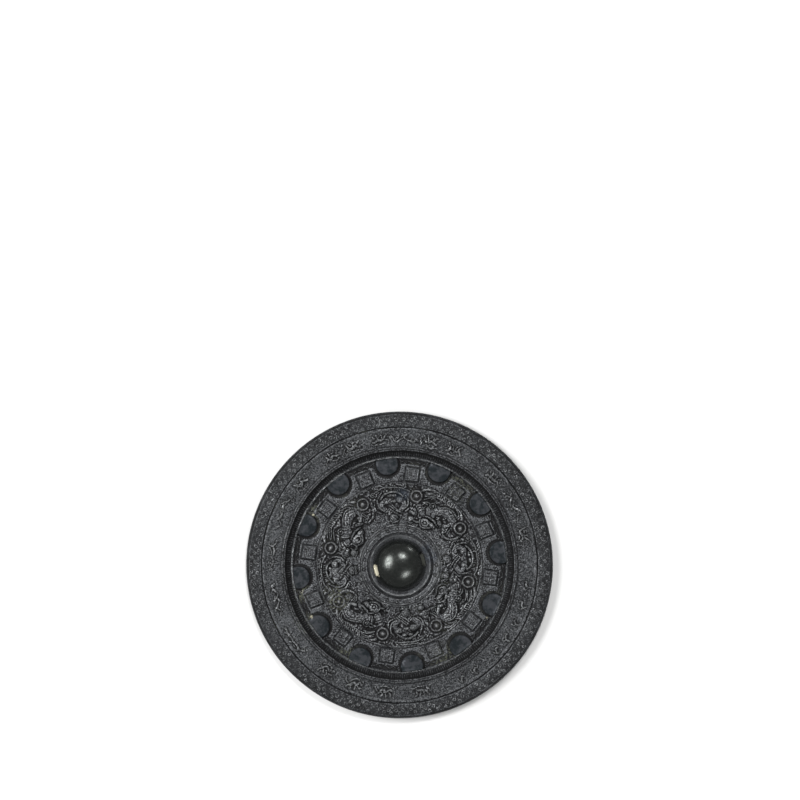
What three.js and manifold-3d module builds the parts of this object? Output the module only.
// A cast bronze mirror of the ring-boss kind, lying on its polished face with the ornamented back up.
// Millimetres, +Z up. The origin is the middle of the small flat that the mirror rests on.
// +X runs along the knob's cord hole. Angles are in degrees, counter-clockwise from +X.
import * as THREE from "three";
import { mergeVertices } from "three/addons/utils/BufferGeometryUtils.js";
import Module from "manifold-3d";

const wasm = await Module();
wasm.setup();

// Driving dimensions
const mirrorRadius = 70; // at the polished face, the widest point
const restRadius = 14; // the flat at the middle of the polished face
const faceSag = 1.8; // how far the edge of the polished face stands off a table
const rimLean = 1; // the rim's side leans in by this much towards the back
const embed = 0.7; // how far a raised form reaches down into the plate

// Heights of the flat floors of the back over the table
const fieldFloor = 2.4; // under the figures
const blockFloor = 2.8; // under the part-round and square blocks
const friezeFloor = 5.3; // the sunk band of the rim
const rimTop = 5.7;

// Radii of the concentric bands
const seatRadius = 14.2; // the plain step under the knob
const domeRadius = 11.9;
const fieldEdge = 37.6; // the raised line round the figures
const ridgeRadius = 49.3; // the smooth ring at the foot of the toothed slope
const slopeTop = 52.5;
const friezeInner = 54.3;
const friezeOuter = 61.6;
const rimGroove = 63.3;

// Knob and cord hole
const seatTop = 3.2;
const domeHeight = 9; // above the seat
const holeWidth = 6.4;
const holeHeight = 4.9;
const holeCorner = 1.8; // rounding of the arch at its top corners

// Ornament: the whole pattern is turned against the cord hole
const patternTurn = -15;
const ringBossOrbit = 32.4;
const ringBossRadius = 2.75;
const medallionOrbit = 47.4; // the twelve part-round blocks
const medallionRadius = 5.6;
const medallionHeight = 1.35;
const attendantStep = 20; // degrees between a deity and the attendant beside it
const attendantSides = [-1, -1, -1, 1]; // the side that each attendant stands on
const sealOrbit = 41.9; // the twelve square blocks
const sealSide = 6.05;
const sealHeight = 1.2;

const rimSides = 56;
const knobSides = 28;
const bronze = new THREE.MeshStandardMaterial({ color: 0x3a3b3c, roughness: 0.45, metalness: 0.85 });

// Height of the polished face over the table: flat in the middle, then a shallow sphere.
const faceCurve = (mirrorRadius ** 2 - restRadius ** 2) / (2 * faceSag);
function faceHeight(radius) {
  return radius <= restRadius ? 0 : (radius ** 2 - restRadius ** 2) / (2 * faceCurve);
}

// A closed geometry as a solid. Triangles that were wound inwards are turned round.
function solidFrom(geometry) {
  geometry.deleteAttribute("normal");
  geometry.deleteAttribute("uv");
  const merged = mergeVertices(geometry, 1e-4);
  const vertProperties = merged.attributes.position.array;
  const triVerts = new Uint32Array(merged.index.array);
  const made = new wasm.Manifold(new wasm.Mesh({ numProp: 3, vertProperties, triVerts }));
  if (made.volume() > 0) return made;
  const flipped = triVerts.toReversed();
  return new wasm.Manifold(new wasm.Mesh({ numProp: 3, vertProperties, triVerts: flipped }));
}

// A profile of [radius, height] pairs turned round a vertical axis.
function turned(profile, sides, centre = new THREE.Vector2()) {
  const points = profile.map(([radius, height]) => new THREE.Vector2(radius, height));
  const lathe = new THREE.LatheGeometry(points, sides);
  lathe.rotateX(Math.PI / 2);
  lathe.translate(centre.x, centre.y, 0);
  return solidFrom(lathe);
}

// Closed skin over equal loops of points, one after the other, with a fan at each end.
function skinned(loops) {
  const count = loops[0].length;
  const triangles = [];
  for (let row = 0; row < loops.length - 1; row++) {
    for (let i = 0; i < count; i++) {
      const next = (i + 1) % count;
      triangles.push(loops[row][i], loops[row][next], loops[row + 1][next]);
      triangles.push(loops[row][i], loops[row + 1][next], loops[row + 1][i]);
    }
  }
  const last = loops[loops.length - 1];
  for (let i = 1; i < count - 1; i++) {
    triangles.push(loops[0][0], loops[0][i + 1], loops[0][i]);
    triangles.push(last[0], last[i], last[i + 1]);
  }
  const positions = triangles.flatMap((point) => [point.x, point.y, point.z]);
  const geometry = new THREE.BufferGeometry();
  geometry.setAttribute("position", new THREE.Float32BufferAttribute(positions, 3));
  return solidFrom(mergeVertices(geometry).toNonIndexed());
}

// A point of a motif: along runs counter-clockwise and out runs away from the knob, at the motif's angle.
function motifPoint(angle, along, out) {
  const turn = THREE.MathUtils.degToRad(angle);
  return new THREE.Vector2(
    out * Math.cos(turn) - along * Math.sin(turn),
    out * Math.sin(turn) + along * Math.cos(turn),
  );
}

// A raised, tapering limb along a smooth line of [along, out] points: flat-backed, or ridged if it is thin.
// Its width runs from the first to the last of three half widths, through the middle one.
function limb(angle, line, widths, height) {
  const curve = new THREE.SplineCurve(line.map(([along, out]) => motifPoint(angle, along, out)));
  const widest = Math.max(...widths);
  const back = widest > 1.2 ? [-0.55, 0.55] : [0];
  const loops = [];
  for (let i = 0; i <= line.length; i++) {
    const share = i / line.length;
    const here = curve.getPoint(share);
    const side = curve.getTangent(share).rotateAround(new THREE.Vector2(), Math.PI / 2);
    const [start, middle, end] = widths;
    const half = share < 0.5
      ? THREE.MathUtils.lerp(start, middle, 2 * share)
      : THREE.MathUtils.lerp(middle, end, 2 * share - 1);
    const rise = height * Math.min(1, 0.45 + half / widest);
    const section = [[-1, -embed], ...back.map((across) => [across, rise]), [1, -embed]];
    loops.push(section.map(([across, up]) => new THREE.Vector3(
      here.x + side.x * across * half,
      here.y + side.y * across * half,
      fieldFloor + up,
    )));
  }
  return skinned(loops);
}

// A rounded mound, such as a head or a knee: an oval dome with flat facets.
function mound(angle, [along, out], [halfAlong, halfOut], height, sides = 8) {
  const rings = [[1, -embed], [0.86, 0.55 * height], [0.45, height]];
  const loops = rings.map(([scale, up]) => Array.from({ length: sides }, (_, i) => {
    const around = ((i + 0.5) / sides) * 2 * Math.PI;
    const spot = motifPoint(
      angle,
      along + halfAlong * scale * Math.cos(around),
      out + halfOut * scale * Math.sin(around),
    );
    return new THREE.Vector3(spot.x, spot.y, fieldFloor + up);
  }));
  return skinned(loops);
}

// A flat-topped block on an outline of [along, out] points, its sides sloped for the mould.
function block(angle, outline, height, draft) {
  const middle = [0, outline.reduce((sum, [, out]) => sum + out / outline.length, 0)];
  const loopAt = (scale, up) => outline.map(([along, out]) => {
    const spot = motifPoint(
      angle,
      middle[0] + (along - middle[0]) * scale,
      middle[1] + (out - middle[1]) * scale,
    );
    return new THREE.Vector3(spot.x, spot.y, blockFloor + up);
  });
  return skinned([loopAt(1, -embed), loopAt(1, 0), loopAt(1 - draft, height)]);
}

function repeated(count, firstAngle, make) {
  return Array.from({ length: count }, (_, i) => make(firstAngle + (i * 360) / count, i)).flat();
}

// The plate and rim: every band of the back is one step of the turned profile.
function disc() {
  const seatFoot = 15.2;
  const innerLine = 18.8;
  const corner = 0.35;
  return turned([
    [0, 0],
    [restRadius, 0],
    [mirrorRadius * 0.6, faceHeight(mirrorRadius * 0.6)],
    [mirrorRadius - corner, faceHeight(mirrorRadius - corner)],
    [mirrorRadius, faceHeight(mirrorRadius) + corner],
    [mirrorRadius - rimLean, rimTop - 0.3],
    [mirrorRadius - rimLean - 0.3, rimTop],
    [rimGroove + 0.4, rimTop],
    [rimGroove, rimTop - 0.35],
    [rimGroove - 0.4, rimTop],
    [friezeOuter + 0.3, rimTop],
    [friezeOuter, friezeFloor],
    [friezeInner, friezeFloor],
    [friezeInner - 0.4, rimTop],
    [slopeTop, rimTop],
    [ridgeRadius + 0.8, blockFloor + 0.2],
    [ridgeRadius + 0.3, blockFloor + 0.8],
    [ridgeRadius - 0.3, blockFloor + 0.8],
    [ridgeRadius - 0.8, blockFloor],
    [fieldEdge + 0.5, blockFloor],
    [fieldEdge, blockFloor + 0.5],
    [fieldEdge - 0.5, fieldFloor],
    [innerLine + 0.5, fieldFloor],
    [innerLine, fieldFloor + 0.5],
    [innerLine - 0.6, fieldFloor - 0.1],
    [innerLine - 0.9, fieldFloor + 0.2],
    [seatFoot + 0.35, fieldFloor + 0.2],
    [seatFoot, fieldFloor - 0.2],
    [0, fieldFloor - 0.2],
  ], rimSides);
}

// The knob: an oval dome on a plain step, with an arched hole right through along X.
function knob() {
  const steps = 6;
  const dome = Array.from({ length: steps + 1 }, (_, i) => {
    const tilt = (i / steps) * (Math.PI / 2);
    return [domeRadius * Math.cos(tilt), seatTop + domeHeight * Math.sin(tilt)];
  });
  return turned([
    [0, fieldFloor - embed],
    [seatRadius, fieldFloor - embed],
    [seatRadius, seatTop - 0.5],
    [seatRadius - 0.5, seatTop],
    ...dome,
  ], knobSides).subtract(cordHole());
}

function cordHole() {
  const half = holeWidth / 2;
  const arch = new THREE.Shape();
  arch.moveTo(-half, 0);
  arch.lineTo(half, 0);
  arch.absarc(half - holeCorner, holeHeight - holeCorner, holeCorner, 0, Math.PI / 2, false);
  arch.absarc(holeCorner - half, holeHeight - holeCorner, holeCorner, Math.PI / 2, Math.PI, false);
  const length = 2 * seatRadius;
  const tunnel = new THREE.ExtrudeGeometry(arch, { depth: length, bevelEnabled: false, curveSegments: 3 });
  tunnel.translate(0, 0, -length / 2);
  tunnel.rotateX(Math.PI / 2);
  tunnel.rotateZ(Math.PI / 2);
  tunnel.translate(0, 0, seatTop);
  return solidFrom(tunnel);
}

// A ring with a round boss in it: the shoulder and haunch of each beast.
function ringBoss(angle) {
  const centre = motifPoint(angle, 0, ringBossOrbit);
  const profile = [
    [0, -embed],
    [ringBossRadius, -embed],
    [ringBossRadius - 0.5, 1.7],
    [ringBossRadius - 1.2, 0.8],
    [ringBossRadius - 1.8, 2],
    [0, 2.1],
  ].map(([radius, rise]) => [radius, fieldFloor + rise]);
  return turned(profile, 10, centre);
}

// A part-round block whose straight side stands against the ridge.
function medallion(angle) {
  const flatSide = ridgeRadius - 0.9 - medallionOrbit;
  const from = Math.asin(flatSide / medallionRadius);
  const sweep = Math.PI + 2 * from;
  const corners = 10;
  const outline = Array.from({ length: corners }, (_, i) => {
    const around = from - (i / (corners - 1)) * sweep;
    return [medallionRadius * Math.cos(around), medallionOrbit + medallionRadius * Math.sin(around)];
  });
  return block(angle, outline, medallionHeight, 0.1);
}

function seal(angle) {
  const half = sealSide / 2;
  const outline = [[-half, -half], [half, -half], [half, half], [-half, half]];
  return block(angle, outline.map(([along, out]) => [along, sealOrbit + out]), sealHeight, 0.1);
}

// A crouching beast seen from the side, its head turned back to the knob and a ring boss at shoulder and haunch.
function beast(angle) {
  return [
    limb(angle, [[11, 31.5], [4, 34.3], [-4, 34], [-11, 31]], [2.2, 2.6, 1.8], 1.3), // trunk
    limb(angle, [[11.5, 28.5], [8, 25.6], [3, 23.5]], [2.2, 2.2, 2.6], 1.5), // neck
    mound(angle, [1.4, 22.6], [3.2, 2.5], 2.1), // head
    mound(angle, [-1.9, 23.6], [1.5, 1.1], 1.5, 6), // muzzle
    limb(angle, [[3.2, 20.8], [5.4, 20.9], [6.8, 22.2]], [0.6, 0.5, 0.3], 1.2), // horn
    limb(angle, [[-9.2, 30], [-7.6, 26.5], [-4.6, 25.8]], [1.1, 0.8, 0.9], 1.3), // raised foreleg
    limb(angle, [[11.5, 33], [10.4, 35.6], [6.8, 36]], [1.1, 0.8, 0.7], 1), // foreleg
    limb(angle, [[-10.5, 33], [-8.6, 35.4], [-4.4, 36]], [1.2, 0.9, 0.7], 1), // hind leg
    limb(angle, [[-14.2, 27.8], [-12.4, 24.4], [-9, 22.4]], [0.9, 0.7, 0.4], 1.1), // tail
    limb(angle, [[-6.6, 32.4], [-2.6, 31.6], [1.2, 27.8]], [0.5, 1.9, 0.4], 1.7), // wing
    mound(angle, [3.7, 30.7], [1.5, 1.5], 1.8, 6), // shoulder curl
  ];
}

// A seated deity with its head to the knob, hands joined in wide sleeves, on a seat with upturned ends.
function deity(angle) {
  return [
    mound(angle, [0, 22.1], [2.1, 2.2], 2.2), // head
    limb(angle, [[-1.5, 19.9], [0, 19.6], [1.5, 19.9]], [0.5, 0.7, 0.5], 1.3), // crown
    limb(angle, [[0, 24], [0, 26], [0, 28.4]], [2, 3, 3.8], 1.4), // chest
    mound(angle, [-3.5, 29.8], [2.2, 2], 1.9), // knees
    mound(angle, [3.5, 29.8], [2.2, 2], 1.9),
    mound(angle, [0, 29.2], [1.8, 1.5], 2, 6), // joined sleeves
    limb(angle, [[-2.6, 32.2], [0, 32.7], [2.6, 32.2]], [0.8, 0.9, 0.8], 1.2), // hem
    limb(angle, [[-3, 26.4], [-5.6, 27.6], [-6.6, 31.4]], [0.8, 0.7, 0.3], 1.2), // wings
    limb(angle, [[3, 26.4], [5.6, 27.6], [6.6, 31.4]], [0.8, 0.7, 0.3], 1.2),
    limb(angle, [[-7.6, 33.6], [-3, 35.4], [3, 35.4], [7.6, 33.6]], [0.6, 0.9, 0.6], 0.9), // seat
  ];
}

// A small standing attendant beside a deity.
function attendant(angle) {
  return [
    mound(angle, [0, 21.8], [1.5, 1.6], 1.8, 6),
    mound(angle, [0, 25.4], [1.9, 2.3], 1.3, 6),
  ];
}

const raised = [
  ...repeated(8, patternTurn + 31.2, ringBoss),
  ...repeated(12, patternTurn + 7.1, medallion),
  ...repeated(12, patternTurn + 22.1, seal),
  ...repeated(4, patternTurn + 53.7, beast),
  ...repeated(4, patternTurn + 6.2, deity),
  ...repeated(4, patternTurn + 6.2, (angle, i) => attendant(angle + attendantSides[i] * attendantStep)),
];

function castMesh(name, solid) {
  const { numProp, vertProperties, triVerts } = solid.getMesh();
  const positions = new Float32Array((vertProperties.length / numProp) * 3);
  for (let i = 0; i < positions.length; i++) {
    positions[i] = vertProperties[Math.floor(i / 3) * numProp + (i % 3)];
  }
  const geometry = new THREE.BufferGeometry();
  geometry.setAttribute("position", new THREE.BufferAttribute(positions, 3));
  geometry.setIndex(new THREE.BufferAttribute(triVerts, 1));
  geometry.computeVertexNormals();
  const mesh = new THREE.Mesh(geometry, bronze);
  mesh.name = name;
  return mesh;
}

const mirror = new THREE.Group();
mirror.add(castMesh("bronze_mirror", wasm.Manifold.union([disc(), knob(), ...raised])));

export default mirror;
